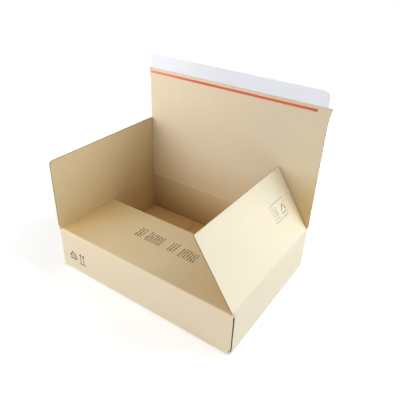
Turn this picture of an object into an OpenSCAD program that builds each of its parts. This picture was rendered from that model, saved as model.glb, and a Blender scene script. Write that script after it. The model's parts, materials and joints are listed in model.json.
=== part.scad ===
// Auto-bottom shipping box in single-wall corrugated board, drawn as it stands
// open on a table: the left flap and the lid upright, the right flap leaning
// in, and the front flap folded in under it.
// The origin is the centre of the base, on the table. +X is to the right, +Y to
// the back and +Z up. The front wall and its flap are on the -Y side.

/* [Body] */
// Outside width of the box, side to side
body_w = 400; // [350:1:450]
// Outside depth of the box, front to back
body_d = 291; // [270:1:322]
// Height of the front wall's top fold above the table
body_h = 90; // [60:1:140]

/* [Board] */
// Thickness of the board
board_t = 3; // [2:0.1:3.6]
// Outside radius of a folded corner
fold_r = 4; // [3.8:0.1:6]
// Radius that rounds the bottom corner of each wall panel
relief_r = 17; // [8:0.5:18]
// Gap between sheets that lie on each other and are not glued
stack_gap = 0.3; // [0.2:0.05:0.6]
// Radius that rounds the cut corners of the flaps
flap_corner_r = 2; // [1:0.5:8]
// Radius of the left flap's front corner, which is worn rounder
worn_corner_r = 7; // [2:0.5:12]

/* [Creases] */
// How far a pressed crease bulges out of the board's faces
bead_rise = 0.2; // [0:0.05:0.4]
// Running gap between a crease and the flap that turns about it
crease_gap = 0.25; // [0.2:0.05:0.5]
// Furthest that a flap folds inward from upright, in degrees
fold_in = 92; // [90:1:96]
// Furthest that a side flap folds outward from upright, in degrees
fold_out = 122; // [95:1:126]
// Depth of a scored line in the board's face
score_depth = 0.5; // [0.2:0.1:0.8]
// Width of a scored line at the face
score_w = 1.4; // [0.8:0.1:2.5]

/* [Front flap] */
// Length of the front flap from its fold to its free edge
front_flap_len = 144; // [100:1:160]
// How far the front flap sags below level, in degrees
front_drop = 0.8; // [0:0.1:6]

/* [Side flaps] */
// Length of a side flap from its crease to its free edge
side_flap_len = 143; // [100:1:165]
// Outward lean of the left flap, in degrees
left_lean = 0; // [0:0.5:10]
// Inward lean of the right flap, in degrees
right_lean = 33.5; // [20:0.5:50]
// Gap between a side flap's front edge and the front wall's face
flap_front_gap = 0.5; // [0.5:0.5:4]
// Gap between a side flap's back edge and the back wall
flap_back_gap = 1.5; // [1:0.5:5]

/* [Lid] */
// Length of the lid from its crease to the score of its sealing edge
lid_len = 250.5; // [200:0.5:270]
// How far the lid's side edges draw in on their way up to the flare
lid_waist = 0.5; // [0:0.1:6]
// Length of the flare that ends in the lid's two ears
lid_flare = 38; // [20:1:90]
// How far the ears stand out from the foot of the flare
lid_ear = 4.2; // [2:0.1:10]
// Gap between the lid's side edge and the side wall's outer face, at its crease
lid_side_gap = 0.5; // [0.3:0.1:3]
// Furthest that the lid swings back from upright, in degrees
lid_back = 106; // [95:1:115]

/* [Sealing edge] */
// Width of the sealing edge beyond its score
seal_w = 29; // [22:1:40]
// How far the sealing edge is cut back from the ears on each side
seal_inset = 9.5; // [4:0.5:20]
// Radius of the sealing edge's cut corners
seal_corner_r = 10; // [4:0.5:16]
// Width of the adhesive strip
glue_w = 20; // [12:1:21]
// Distance from the score to the adhesive strip
glue_from = 5; // [2:0.5:7]
// Thickness of the adhesive strip
glue_t = 0.3; // [0.2:0.05:0.5]
// Thickness of the release paper
liner_t = 0.3; // [0.2:0.05:0.5]
// How far the release paper reaches past the board's edge
liner_over = 2.5; // [0.5:0.5:4]

/* [Tear tape] */
// Width of the tear tape
tape_w = 5; // [3:0.5:8]
// Thickness of the tear tape
tape_t = 0.3; // [0.2:0.05:0.5]
// Distance from the score down to the middle of the tear tape
tape_drop = 7.2; // [5:0.1:12]
// Distance from the lid's left edge to the tape's end
tape_left = 3; // [1:0.5:10]
// Distance from the lid's right edge to the tape's end
tape_right = 24; // [8:0.5:32]

/* [Glued corner] */
// Width of the glue tab inside the front wall
corner_tab_w = 32; // [20:1:40]
// Height that the glue tab is cut back at its two ends
corner_tab_cut = 10; // [8:0.5:14]
// How far the front wall's raw edge stops short of the right wall's face
raw_edge_gap = 0.6; // [0.3:0.1:1.5]

/* [Locking bottom] */
// Length of each side panel of the bottom
side_panel_len = 136; // [110:1:140]
// Slope of a side panel's two cut edges, in degrees
side_panel_taper = 2; // [0.5:0.5:4]
// Distance along which a side panel steps up over the glued tab
step_run = 10; // [8:1:16]
// Distance from the wall's face to the start of that step
step_from = 8; // [7:0.5:12]
// Size of the diagonal tab that is glued under a side panel
lock_tab = 108; // [80:1:112]
// Reach of a hooked tongue past the middle of the bottom
tongue_reach = 32; // [24:1:44]
// Reach of a tongue's barb to the side
barb = 14; // [8:1:24]
// Length of the barb, measured to the front or back
barb_len = 15; // [10:1:18]
// Gap between the cut edges that meet in the bottom
cut_gap = 1.5; // [1:0.1:3]
// Distance from a corner of the box to the start of the bottom panels' folds
corner_notch = 11; // [10.5:0.5:14]

/* [Hidden] */
$fn = 64;
eps = 0.01;
far = 1000;
kraft = "#D2B98C";
kraft_pale = "#E0CCA4";
tape_red = "#D8492F";
glue_clear = "#E8E2C8";
liner_white = "#E4E8F0";
glue_fillet = 1.2;
corner_lap = 0.5;
half_w = body_w / 2;
half_d = body_d / 2;
bead_r = board_t / 2 + bead_rise;
// Heights of the creases: each later flap folds onto the ones before it
front_z = body_h - board_t / 2;
side_z = front_z + board_t + stack_gap;
lid_z = side_z + board_t + stack_gap;
hinge_x = half_w - board_t / 2;
hinge_y = half_d - board_t / 2;
// Side flaps: ends along the crease
flap_y0 = -half_d + flap_front_gap;
flap_y1 = half_d - board_t - flap_back_gap;
// The front flap fits between the side walls, and its fold ends where the front
// wall begins to bend round the corner. side_fold_y is where the right wall does.
front_flap_w = body_w - 2 * board_t - 4 * stack_gap;
front_bend_z = front_z - (fold_r - board_t / 2) * (1 + sin(front_drop)) / cos(front_drop);
side_fold_y = -half_d + board_t + fold_r;
// Bottom: the upper layer rides on the lower one
lift = board_t + stack_gap;
step_to = step_from + step_run;
tab_inset = step_to + cut_gap;
tab_cut = 2 * tab_inset;
hook_from = half_w - side_panel_len - 2 * cut_gap;
tongue_from = half_d - step_run - 2 * cut_gap;
tongue_to = half_d - 2 * cut_gap;
// Lid outline
lid_half = half_w - lid_side_gap;
ear_half = lid_half - lid_waist + lid_ear;
seal_half = ear_half - seal_inset;
lid_flare_at = lid_len - lid_flare;
flare_steps = 8;
bend_steps = 12;

// Turns a section drawn as (outward, up) into a bar along one edge of the box.
// side is 0 for right, 90 for back, 180 for left and 270 for front.
module along_edge(side, x, y, z, len) {
    translate([x, y, z])
        rotate([90, 0, side])
            linear_extrude(height = len, center = true)
                children();
}

// Turns a sheet drawn as (along the edge, up) into board that stands on that
// edge and leans outward by lean degrees.
module stand_on_edge(side, x, y, z, lean) {
    translate([x, y, z])
        rotate([90, 0, side])
            rotate([0, 0, -lean])
                children();
}

// A flat outline (along, up) given its thickness, with its middle on the crease
module sheet(t) {
    rotate([0, -90, 0])
        linear_extrude(height = t, center = true)
            children();
}

// Part of a ring of board, from angle a0 to a1, around a fold
module bend(r, t, a0, a1) {
    mid = (a0 + a1) / 2;
    intersection() {
        difference() {
            circle(r = r);
            circle(r = r - t);
        }
        polygon([
            [0, 0],
            2 * r * [cos(a0), sin(a0)],
            3 * r * [cos(mid), sin(mid)],
            2 * r * [cos(a1), sin(a1)]
        ]);
    }
}

// What the crushed crease takes from the top of a wall: both faces slope away
// from the crease line, by half of the angle that the flap folds through.
module wall_crease_cut(out) {
    polygon([
        [-board_t, eps],
        [-board_t, -board_t * tan(fold_in / 2)],
        [0, 0],
        [board_t, -board_t * tan(out / 2)],
        [board_t, eps]
    ]);
}

// What the same crease takes from the root of the flap
module flap_crease_cut(out) {
    circle(r = bead_r + crease_gap);
    polygon([
        [-board_t, -board_t],
        [-board_t, board_t * tan(fold_in / 2)],
        [0, 0],
        [board_t, board_t * tan(out / 2)],
        [board_t, -board_t]
    ]);
}

// A flap's outline from y0 to y1, with its two free corners rounded
module flap_outline(y0, y1, len, r0, r1) {
    mid = (y0 + y1) / 2;
    translate([y0, 0])
        square([mid - y0 + eps, len - r0]);
    translate([mid, 0])
        square([y1 - mid, len - r1]);
    translate([y0 + r0, 0])
        square([y1 - y0 - r0 - r1, len]);
    translate([y0 + r0, len - r0])
        circle(r = r0);
    translate([y1 - r1, len - r1])
        circle(r = r1);
}

// Board with a flap's outline and a crushed root, standing on its crease
module creased_flap(w, out) {
    difference() {
        sheet(board_t)
            children();
        linear_extrude(height = w + 2 * far, center = true)
            flap_crease_cut(out);
    }
}

// Plan of the four walls. The right wall turns the last corner into the glue
// tab, which lies inside the front wall's raw edge.
module wall_plan() {
    difference() {
        square([body_w, body_d], center = true);
        square([body_w - 2 * board_t, body_d - 2 * board_t], center = true);
        translate([-half_w, -half_d])
            square(2 * fold_r, center = true);
        translate([-half_w, half_d])
            square(2 * fold_r, center = true);
        translate([half_w, half_d])
            square(2 * fold_r, center = true);
        translate([half_w - fold_r, -half_d - eps])
            square([2 * fold_r, board_t + fold_r + eps]);
    }
    translate([-half_w + fold_r, -half_d + fold_r])
        bend(fold_r, board_t, 180, 270);
    translate([-half_w + fold_r, half_d - fold_r])
        bend(fold_r, board_t, 90, 180);
    translate([half_w - fold_r, half_d - fold_r])
        bend(fold_r, board_t, 0, 90);
    translate([half_w - fold_r, side_fold_y])
        bend(fold_r, board_t, -90, 0);
    translate([half_w - fold_r - eps, -half_d])
        square([fold_r - raw_edge_gap + eps, board_t]);
    // Glue squeezed out where the fold curves away from the front wall
    translate([half_w - fold_r - eps, -half_d + board_t - eps])
        square([glue_fillet, glue_fillet / 5]);
}

// The walls, each as high as its own crease
module walls() {
    linear_extrude(height = front_z - fold_r)
        wall_plan();
    linear_extrude(height = front_z)
        intersection() {
            wall_plan();
            translate([-half_w, -half_d])
                square([fold_r + 2 * corner_lap, fold_r + board_t]);
        }
    linear_extrude(height = front_bend_z - stack_gap)
        intersection() {
            wall_plan();
            translate([half_w - 2 * fold_r, -half_d])
                square([2 * fold_r, 2 * (board_t + fold_r)]);
        }
    linear_extrude(height = side_z)
        intersection() {
            wall_plan();
            union() {
                translate([-half_w, -half_d + fold_r])
                    square([half_w, body_d]);
                translate([0, side_fold_y])
                    square([half_w, body_d]);
            }
        }
    linear_extrude(height = lid_z)
        intersection() {
            wall_plan();
            translate([-lid_half + fold_r, half_d - board_t])
                square([2 * (lid_half - fold_r), 2 * board_t]);
        }
}

// Glue tab along the inside of the front wall, with slanted ends
module corner_tab() {
    x1 = half_w - fold_r;
    z1 = front_z - fold_r;
    translate([0, -half_d + 2 * board_t, 0])
        rotate([90, 0, 0])
            linear_extrude(height = board_t)
                polygon([
                    [x1 + eps, corner_tab_cut],
                    [x1 + eps, z1],
                    [x1 - corner_tab_w, z1 - corner_tab_cut],
                    [x1 - corner_tab_w, 2 * corner_tab_cut]
                ]);
}

// Rounds the two bottom corners of a wall panel, and the holes that this leaves
module corner_reliefs() {
    for (sx = [-1, 1], sy = [-1, 1]) {
        translate([sx * half_w, sy * half_d, 0])
            rotate([90, 0, 0])
                linear_extrude(height = 2 * (fold_r - corner_lap), center = true)
                    relief_outline(sx);
        translate([sx * half_w, sy * half_d, 0])
            rotate([90, 0, 90])
                linear_extrude(height = 2 * (fold_r - corner_lap), center = true)
                    relief_outline(sy);
    }
}

// The corner outside a quarter circle, on the side that s names
module relief_outline(s) {
    difference() {
        translate([-s * relief_r / 2 + s * eps, relief_r / 2 - eps])
            square(relief_r + 2 * eps, center = true);
        translate([-s * relief_r, relief_r])
            circle(r = relief_r);
    }
}

// Section with both bottom edges rounded, as wide as w
module round_bottom(w) {
    translate([-w / 2, fold_r])
        square([w, far]);
    translate([-w / 2 + fold_r, 0])
        square([w - 2 * fold_r, far]);
    translate([-w / 2 + fold_r, fold_r])
        circle(r = fold_r);
    translate([w / 2 - fold_r, fold_r])
        circle(r = fold_r);
}

// Section of a scored line, centred on the board's face, which lies along +Y
module score_section() {
    polygon([
        [-score_depth, 0],
        [0, -score_w / 2],
        [score_depth, 0],
        [0, score_w / 2]
    ]);
}

// Everything inside the box's rounded bottom folds
module bottom_envelope() {
    intersection() {
        rotate([90, 0, 0])
            linear_extrude(height = 2 * far, center = true)
                round_bottom(body_w);
        rotate([90, 0, 90])
            linear_extrude(height = 2 * far, center = true)
                round_bottom(body_d);
    }
}

// Plan of a main bottom panel, drawn for the front one with its fold at y = 0
// and the left wall's face at x = 0. Its left end carries the glued tab, and
// its right end is cut back on a slope.
module main_panel_plan() {
    polygon([
        [corner_notch, 0],
        [corner_notch, board_t + cut_gap],
        [tab_inset, board_t + cut_gap + tab_inset - corner_notch],
        [tab_inset, lock_tab - tab_cut],
        [tab_cut, lock_tab],
        [lock_tab, lock_tab],
        [lock_tab + tab_inset / 2, half_d - cut_gap / 2],
        [half_w - hook_from, half_d - cut_gap / 2],
        [half_w - hook_from, tongue_from],
        [half_w - cut_gap / 2, tongue_from],
        [half_w - cut_gap / 2, half_d - cut_gap / 2],
        [body_w - lock_tab, half_d - cut_gap / 2],
        [body_w - tab_inset, tab_inset],
        [body_w - corner_notch, board_t + cut_gap],
        [body_w - corner_notch, 0]
    ]);
}

// Plan of the tongue that passes over the other main panel and hooks it
module tongue_plan() {
    x0 = half_w - hook_from + cut_gap;
    x1 = half_w - cut_gap / 2;
    y1 = half_d + tongue_reach;
    r = cut_gap * 2;
    translate([x0, tongue_from - cut_gap])
        square([x1 - x0, y1 - tongue_from + cut_gap - r]);
    translate([x0 + r, y1 - r - eps])
        square([x1 - x0, r + eps]);
    translate([x0 + r, y1 - r])
        circle(r = r);
    translate([x1 - eps, y1 - barb_len])
        square([barb - r + eps, barb_len]);
    translate([x1 - eps, y1 - barb_len + r])
        square([barb + eps, barb_len - 2 * r]);
    translate([x1 + barb - r, y1 - r])
        circle(r = r);
    translate([x1 + barb - r, y1 - barb_len + r])
        circle(r = r);
}

// Side view of board that runs flat, steps up by lift and runs on to x1
module stepped_section(x0, ramp0, ramp1, x1) {
    back = board_t * tan(atan2(lift, ramp1 - ramp0) / 2);
    polygon([
        [x0, 0],
        [ramp0, 0],
        [ramp1, lift],
        [x1, lift],
        [x1, lift + board_t],
        [ramp1 - back, lift + board_t],
        [ramp0 - back, board_t],
        [x0, board_t]
    ]);
}

// One main panel: the flat part, the stepped tongue, and the diagonal crease
// where the glued tab folds when the box is knocked flat
module main_panel() {
    difference() {
        linear_extrude(height = board_t)
            main_panel_plan();
        for (z = [0, board_t]) {
            translate([board_t, board_t, z])
                rotate([0, 90, 45])
                    linear_extrude(height = (lock_tab - board_t) * sqrt(2))
                        score_section();
        }
    }
    intersection() {
        linear_extrude(height = far)
            tongue_plan();
        translate([half_w, 0, 0])
            rotate([90, 0, 90])
                linear_extrude(height = body_w, center = true)
                    stepped_section(tongue_from - cut_gap, tongue_from, tongue_to, half_d + half_w);
    }
    // Glue between the tab and the side panel that lies on it
    translate([0, 0, board_t - eps])
        linear_extrude(height = stack_gap + 2 * eps)
            polygon([
                [tab_inset + cut_gap, tab_inset + tab_cut],
                [tab_inset + cut_gap, lock_tab - tab_cut - cut_gap],
                [tab_cut + cut_gap, lock_tab - cut_gap],
                [lock_tab - tab_cut, lock_tab - cut_gap]
            ]);
}

// One side panel of the bottom, drawn for the left one with its fold at x = 0
// and the front wall's face at y = 0
module side_panel() {
    taper = (side_panel_len - corner_notch) * tan(side_panel_taper);
    intersection() {
        linear_extrude(height = far)
            polygon([
                [0, corner_notch],
                [board_t, corner_notch],
                [step_from, corner_notch + cut_gap],
                [side_panel_len, corner_notch + cut_gap + taper],
                [side_panel_len, body_d - corner_notch - cut_gap - taper],
                [step_from, body_d - corner_notch - cut_gap],
                [board_t, body_d - corner_notch],
                [0, body_d - corner_notch]
            ]);
        translate([0, body_d / 2, 0])
            rotate([90, 0, 0])
                linear_extrude(height = body_d, center = true)
                    stepped_section(0, step_from, step_to, side_panel_len);
    }
}

// The bottom that locks itself: each pair is one drawing turned half round
module locking_bottom() {
    for (turn = [0, 180]) {
        rotate([0, 0, turn])
            translate([-half_w, -half_d, 0]) {
                main_panel();
                side_panel();
            }
    }
}

// Section of the front fold and its flap, drawn as one sheet about the crease
module front_section() {
    turn = 90 + front_drop;
    c = [board_t / 2 - fold_r, front_bend_z - front_z];
    up = [cos(turn), sin(turn)];
    tip = c + fold_r * up + front_flap_len * [-cos(front_drop), -sin(front_drop)];
    polygon(concat(
        [[-board_t / 2, -2 * fold_r], [board_t / 2, -2 * fold_r]],
        [for (i = [0:bend_steps]) c + fold_r * [cos(turn * i / bend_steps), sin(turn * i / bend_steps)]],
        [tip, tip - board_t * up],
        [for (i = [bend_steps:-1:0])
            c + (fold_r - board_t) * [cos(turn * i / bend_steps), sin(turn * i / bend_steps)]]
    ));
}

// Front flap, folded in past level. Its fold runs from the left corner's bend to
// the wall's raw edge, and the flap then narrows to fit between the side walls.
module front_flap() {
    half_flap = front_flap_w / 2;
    flap_from = fold_r - board_t / 2;
    free_len = front_flap_len - flap_from;
    left_end = half_w - fold_r - corner_lap;
    right_end = half_w - 2 * raw_edge_gap;
    intersection() {
        along_edge(270, 0, -hinge_y, front_z, body_w)
            front_section();
        stand_on_edge(270, 0, -hinge_y, front_z, -90 - front_drop)
            sheet(2 * body_h)
                union() {
                    translate([0, flap_from])
                        flap_outline(-half_flap, half_flap, free_len, flap_corner_r, flap_corner_r);
                    translate([-right_end, -body_h / 2])
                        square([right_end + left_end, body_h / 2 + flap_from + eps]);
                    translate([-right_end, 0])
                        square([right_end, side_fold_y + hinge_y - stack_gap]);
                }
    }
}

// Bead of a pressed crease, along the top of a side wall from y0 to the back
module side_bead(side, x, y0) {
    y1 = half_d - fold_r - board_t / 2;
    along_edge(side, x, (y0 + y1) / 2, side_z, y1 - y0)
        circle(r = bead_r);
}

module carton_body() color(kraft) {
    difference() {
        intersection() {
            union() {
                walls();
                locking_bottom();
            }
            bottom_envelope();
        }
        corner_reliefs();
        along_edge(0, hinge_x, 0, side_z, 2 * body_d)
            wall_crease_cut(fold_out);
        along_edge(180, -hinge_x, 0, side_z, 2 * body_d)
            wall_crease_cut(fold_out);
        along_edge(90, 0, hinge_y, lid_z, 2 * body_w)
            wall_crease_cut(lid_back);
    }
    side_bead(0, hinge_x, side_fold_y + stack_gap);
    side_bead(180, -hinge_x, side_fold_y - board_t + stack_gap);
    along_edge(90, 0, hinge_y, lid_z, 2 * (lid_half - fold_r))
        circle(r = bead_r);
    corner_tab();
    front_flap();
}

module left_flap() color(kraft) {
    stand_on_edge(180, -hinge_x, 0, side_z, left_lean)
        creased_flap(body_d, fold_out)
            flap_outline(flap_y0, flap_y1, side_flap_len, worn_corner_r, flap_corner_r);
}

module right_flap() color(kraft_pale) {
    stand_on_edge(0, hinge_x, 0, side_z, -right_lean)
        creased_flap(body_d, fold_out)
            flap_outline(-flap_y1, -flap_y0, side_flap_len, flap_corner_r, flap_corner_r);
}

// Half width of the lid at height v: drawn in a little, then flared out
function lid_edge(v) =
    v < lid_flare_at
        ? lid_half - lid_waist * v / lid_flare_at
        : lid_half - lid_waist + lid_ear * pow((v - lid_flare_at) / lid_flare, 2);

// Lid up to the score of its sealing edge
module lid_outline() {
    heights = concat([0], [for (i = [0:flare_steps]) lid_flare_at + lid_flare * i / flare_steps]);
    polygon(concat(
        [for (i = [0:flare_steps + 1]) [lid_edge(heights[i]), heights[i]]],
        [for (i = [flare_steps + 1:-1:0]) [-lid_edge(heights[i]), heights[i]]]
    ));
    translate([-seal_half, lid_len - eps])
        flap_outline(0, 2 * seal_half, seal_w + eps, seal_corner_r, seal_corner_r);
}

module lid() color(kraft) {
    stand_on_edge(90, 0, hinge_y, lid_z, 0)
        difference() {
            creased_flap(body_w, lid_back)
                lid_outline();
            for (u = [-board_t / 2, board_t / 2]) {
                translate([u, lid_len, 0])
                    linear_extrude(height = 2 * body_w, center = true)
                        score_section();
            }
        }
}

// A thin sheet on the lid's inner face, at height off above the board
module on_lid_face(off, t) {
    stand_on_edge(90, 0, hinge_y, lid_z, 0)
        translate([-board_t / 2 - off - t / 2, 0, 0])
            sheet(t)
                children();
}

module tear_tape() color(tape_red) {
    x0 = -lid_edge(lid_len - tape_drop) + tape_left;
    x1 = lid_edge(lid_len - tape_drop) - tape_right;
    on_lid_face(0, tape_t)
        translate([x0, lid_len - tape_drop - tape_w / 2])
            square([x1 - x0, tape_w]);
}

module adhesive_strip() color(glue_clear) {
    on_lid_face(0, glue_t)
        translate([-seal_half + glue_from, lid_len + glue_from])
            square([2 * (seal_half - glue_from), glue_w]);
}

module release_liner() color(liner_white) {
    reach = seal_half + liner_over;
    liner_corner_r = seal_corner_r + liner_over;
    on_lid_face(glue_t, liner_t)
        translate([0, lid_len + score_w])
            flap_outline(-reach, reach, seal_w + liner_over - score_w, liner_corner_r, liner_corner_r);
}

carton_body();
left_flap();
right_flap();
lid();
tear_tape();
adhesive_strip();
release_liner();
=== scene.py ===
# %% [markdown]
# An auto-bottom shipping box is one sheet of corrugated board, cut, creased,
# folded and glued flat, which springs into a tray when its walls are pushed
# apart. This lesson loads the box as it was built and gives it the finish of
# the real thing: kraft paper, open flutes along the cut edges, crushed
# creases, printed marks, a red tear tape and a strip of release paper.
# The built pieces stay where they are. All that is added sits on them.

# %% Load the box
import json
import math
import random

import bmesh
import bpy
from mathutils import Matrix, Vector
from mathutils.bvhtree import BVHTree


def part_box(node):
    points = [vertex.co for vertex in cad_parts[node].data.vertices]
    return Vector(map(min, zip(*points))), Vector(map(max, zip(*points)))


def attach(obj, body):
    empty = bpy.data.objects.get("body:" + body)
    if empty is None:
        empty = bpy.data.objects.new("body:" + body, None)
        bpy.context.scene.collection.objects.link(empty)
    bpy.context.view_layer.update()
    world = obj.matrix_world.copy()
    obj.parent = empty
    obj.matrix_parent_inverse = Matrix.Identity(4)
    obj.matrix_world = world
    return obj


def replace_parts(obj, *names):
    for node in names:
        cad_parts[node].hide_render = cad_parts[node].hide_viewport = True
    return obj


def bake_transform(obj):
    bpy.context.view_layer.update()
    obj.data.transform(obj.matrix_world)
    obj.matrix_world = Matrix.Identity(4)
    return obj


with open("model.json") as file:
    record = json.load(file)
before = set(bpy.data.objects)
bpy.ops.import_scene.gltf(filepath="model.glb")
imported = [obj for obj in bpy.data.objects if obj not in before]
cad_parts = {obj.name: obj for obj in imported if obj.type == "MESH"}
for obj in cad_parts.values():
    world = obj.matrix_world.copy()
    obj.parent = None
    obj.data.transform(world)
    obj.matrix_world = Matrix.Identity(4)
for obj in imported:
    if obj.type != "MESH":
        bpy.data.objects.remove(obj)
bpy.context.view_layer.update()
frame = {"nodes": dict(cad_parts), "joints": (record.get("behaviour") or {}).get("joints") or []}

# %% [markdown]
# Every size below is in metres. What the built box can tell is read from it:
# the creases from its joints, the thickness of the board from the lid, and the
# ends of the flaps from their own boxes. The rest are the leans and outlines
# that the panels were drawn with.

# %% Sizes that the pieces share
MM = 0.001
crease = {joint["name"]: Vector(joint["pos_m"]) for joint in frame["joints"]}
lid_low, lid_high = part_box("lid")
flap_low, flap_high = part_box("left_flap")
board = lid_high.y - lid_low.y
half_board = board / 2
half_w = crease["right_flap_crease"].x + half_board
half_d = crease["lid_crease"].y + half_board
side_flap_len = 143 * MM
front_flap_len = 144 * MM
flap_corner = 2 * MM
worn_corner = 7 * MM
left_lean = 0.0
right_lean = math.radians(33.5)
front_drop = math.radians(0.8)
front_crease_z = crease["left_flap_crease"].z - board - 0.3 * MM
print(f"board {board / MM:.2f} mm, half width {half_w / MM:.1f} mm, "
      f"half depth {half_d / MM:.1f} mm")

# %% [markdown]
# A box is made of flat panels, so it helps to describe a panel once: a point
# on its crease and three directions, along the crease, up the panel, and out of
# its printed face. A detail is then placed by three plain numbers, whichever
# way the panel leans.

# %% Panels of board
class Panel:
    """A flat panel of board, with its crease and its printed face."""

    def __init__(self, body, root, along, up):
        self.body = body
        self.root = Vector(root)
        self.along = Vector(along).normalized()
        self.up = Vector(up).normalized()
        self.out = self.along.cross(self.up)

    def at(self, along, up, out):
        return self.root + self.along * along + self.up * up + self.out * out


left_flap = Panel("left_side_flap", crease["left_flap_crease"], (0, -1, 0),
                  (-math.sin(left_lean), 0, math.cos(left_lean)))
right_flap = Panel("right_side_flap", crease["right_flap_crease"], (0, 1, 0),
                   (-math.sin(right_lean), 0, math.cos(right_lean)))
lid = Panel("lid_sheet", crease["lid_crease"], (-1, 0, 0), (0, 0, 1))
front_wall = Panel("carton", (0, -half_d + half_board, 0), (1, 0, 0), (0, 0, 1))
front_flap = Panel("carton", (0, -half_d + half_board, front_crease_z), (1, 0, 0),
                   (0, math.cos(front_drop), -math.sin(front_drop)))
print("the right flap's printed face looks along", [round(v, 2) for v in right_flap.out])

# %% [markdown]
# The camera is where the photographer stood: in front of the box, to its
# right, and looking down. Three angles and a place fix it. The focal length
# belongs to a square picture, so the sensor stays 36 mm wide.

# %% Camera
camera_place = Vector((423.0, -593.0, 604.2)) * MM
camera_turn = math.radians(33.30)
camera_dip = math.radians(31.41)
camera_roll = math.radians(2.27)

camera_data = bpy.data.cameras.new("camera")
camera_data.lens = 40.19
camera_data.sensor_width = 36
camera_data.clip_start = 0.01
camera = bpy.data.objects.new("camera", camera_data)
bpy.context.scene.collection.objects.link(camera)
back = Vector((math.sin(camera_turn) * math.cos(camera_dip),
               -math.cos(camera_turn) * math.cos(camera_dip),
               math.sin(camera_dip)))
level = Vector((math.cos(camera_turn), math.sin(camera_turn), 0))
upright = back.cross(level)
right = level * math.cos(camera_roll) + upright * math.sin(camera_roll)
up = upright * math.cos(camera_roll) - level * math.sin(camera_roll)
turned = Matrix((right, up, back)).transposed().to_4x4()
camera.matrix_world = Matrix.Translation(camera_place) @ turned
bpy.context.scene.camera = camera
print("camera at", [round(v, 3) for v in camera.matrix_world.translation])

# %% [markdown]
# Such boxes are photographed on a white sweep between soft boxes. Six wide
# lamps stand round the box, most of them low, which is why the walls are as
# bright as the flaps and the inside of the tray stays darker. Three of them are
# near, so their light falls off across the box, as it does in a small studio.
# What the camera sees of the sky is plain white, while the box is lit at a
# plain level, so that its colours come out as they are written. The floor glows
# a little where the camera sees it, and more so far away: its rim melts into
# the sky, and the box still throws a faint shadow beside it.

# %% Light, sky and floor
bpy.context.scene.view_settings.view_transform = "Standard"
lamp_spread = math.radians(42)
lamp_aim = Vector((0, 0, 0.12))
far_lamp_distance = 2.0
far_lamps = (  # name, turn from the right side, height, strength
    ("lamp_front", -90, 12, 0.50),
    ("lamp_left", 180, 25, 0.45),
    ("lamp_above", -60, 84, 0.40),
)
near_lamps = (  # the same, and the distance from the middle of the box
    ("lamp_front_left", -122, 18, 1.38, 1.4),
    ("lamp_right", 12, 14, 0.66, 1.4),
    ("lamp_back_right", 42, 38, 1.60, 1.8),
)
sky_strength = 0.15
floor_half = 4.0
floor_sunk = 0.2 * MM
floor_glow = (0.30, 0.76)  # beside the box and far from it
glow_reach = (0.30, 1.20)  # the distances at which these hold


def hang_lamp(name, lamp_data, turn, height, distance):
    """A lamp at this distance from the box, looking at it."""
    turn, height = math.radians(turn), math.radians(height)
    flat = math.cos(height)
    towards = Vector((math.cos(turn) * flat, math.sin(turn) * flat, math.sin(height)))
    lamp = bpy.data.objects.new(name, lamp_data)
    lamp.location = lamp_aim + towards * distance
    lamp.rotation_mode = "QUATERNION"
    lamp.rotation_quaternion = towards.to_track_quat("Z", "Y")
    lamp.visible_camera = False
    bpy.context.scene.collection.objects.link(lamp)


for name, turn, height, strength in far_lamps:
    lamp_data = bpy.data.lights.new(name, "SUN")
    lamp_data.energy = strength
    lamp_data.angle = lamp_spread
    hang_lamp(name, lamp_data, turn, height, far_lamp_distance)
for name, turn, height, strength, distance in near_lamps:
    lamp_data = bpy.data.lights.new(name, "AREA")
    lamp_data.shape = "DISK"
    lamp_data.size = 2 * distance * math.tan(lamp_spread / 2)
    lamp_data.energy = 4 * strength * distance ** 2
    hang_lamp(name, lamp_data, turn, height, distance)


def seen_directly(nodes, links):
    """1 for a ray from the camera, or by way of gloss or glass, and 0 elsewhere."""
    path = nodes.new("ShaderNodeLightPath")
    total = path.outputs["Is Camera Ray"]
    for name in ("Is Glossy Ray", "Is Transmission Ray"):
        add = nodes.new("ShaderNodeMath")
        add.operation = "MAXIMUM"
        links.new(total, add.inputs[0])
        links.new(path.outputs[name], add.inputs[1])
        total = add.outputs[0]
    return total


world = bpy.data.worlds.new("sky")
bpy.context.scene.world = world
world.use_nodes = True
sky_nodes, sky_links = world.node_tree.nodes, world.node_tree.links
strength = sky_nodes.new("ShaderNodeMapRange")
strength.inputs["To Min"].default_value = sky_strength
strength.inputs["To Max"].default_value = 1
sky_links.new(seen_directly(sky_nodes, sky_links), strength.inputs["Value"])
sky_nodes["Background"].inputs["Color"].default_value = (1, 1, 1, 1)
sky_links.new(strength.outputs["Result"], sky_nodes["Background"].inputs["Strength"])

floor_paint = bpy.data.materials.new("white_sweep")
floor_paint.use_nodes = True
paint_nodes, paint_links = floor_paint.node_tree.nodes, floor_paint.node_tree.links
paint_shader = paint_nodes["Principled BSDF"]
paint_shader.inputs["Base Color"].default_value = (0.9, 0.9, 0.9, 1)
paint_shader.inputs["Roughness"].default_value = 0.9
paint_shader.inputs["Specular IOR Level"].default_value = 0.0
paint_shader.inputs["Emission Color"].default_value = (1, 1, 1, 1)
place = paint_nodes.new("ShaderNodeTexCoord")
away = paint_nodes.new("ShaderNodeVectorMath")
away.operation = "LENGTH"
paint_links.new(place.outputs["Object"], away.inputs[0])
whiter = paint_nodes.new("ShaderNodeMapRange")
for socket, value in zip(("From Min", "From Max", "To Min", "To Max"), glow_reach + floor_glow):
    whiter.inputs[socket].default_value = value
paint_links.new(away.outputs["Value"], whiter.inputs["Value"])
glow = paint_nodes.new("ShaderNodeMath")
glow.operation = "MULTIPLY"
paint_links.new(whiter.outputs["Result"], glow.inputs[1])
paint_links.new(seen_directly(paint_nodes, paint_links), glow.inputs[0])
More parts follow.
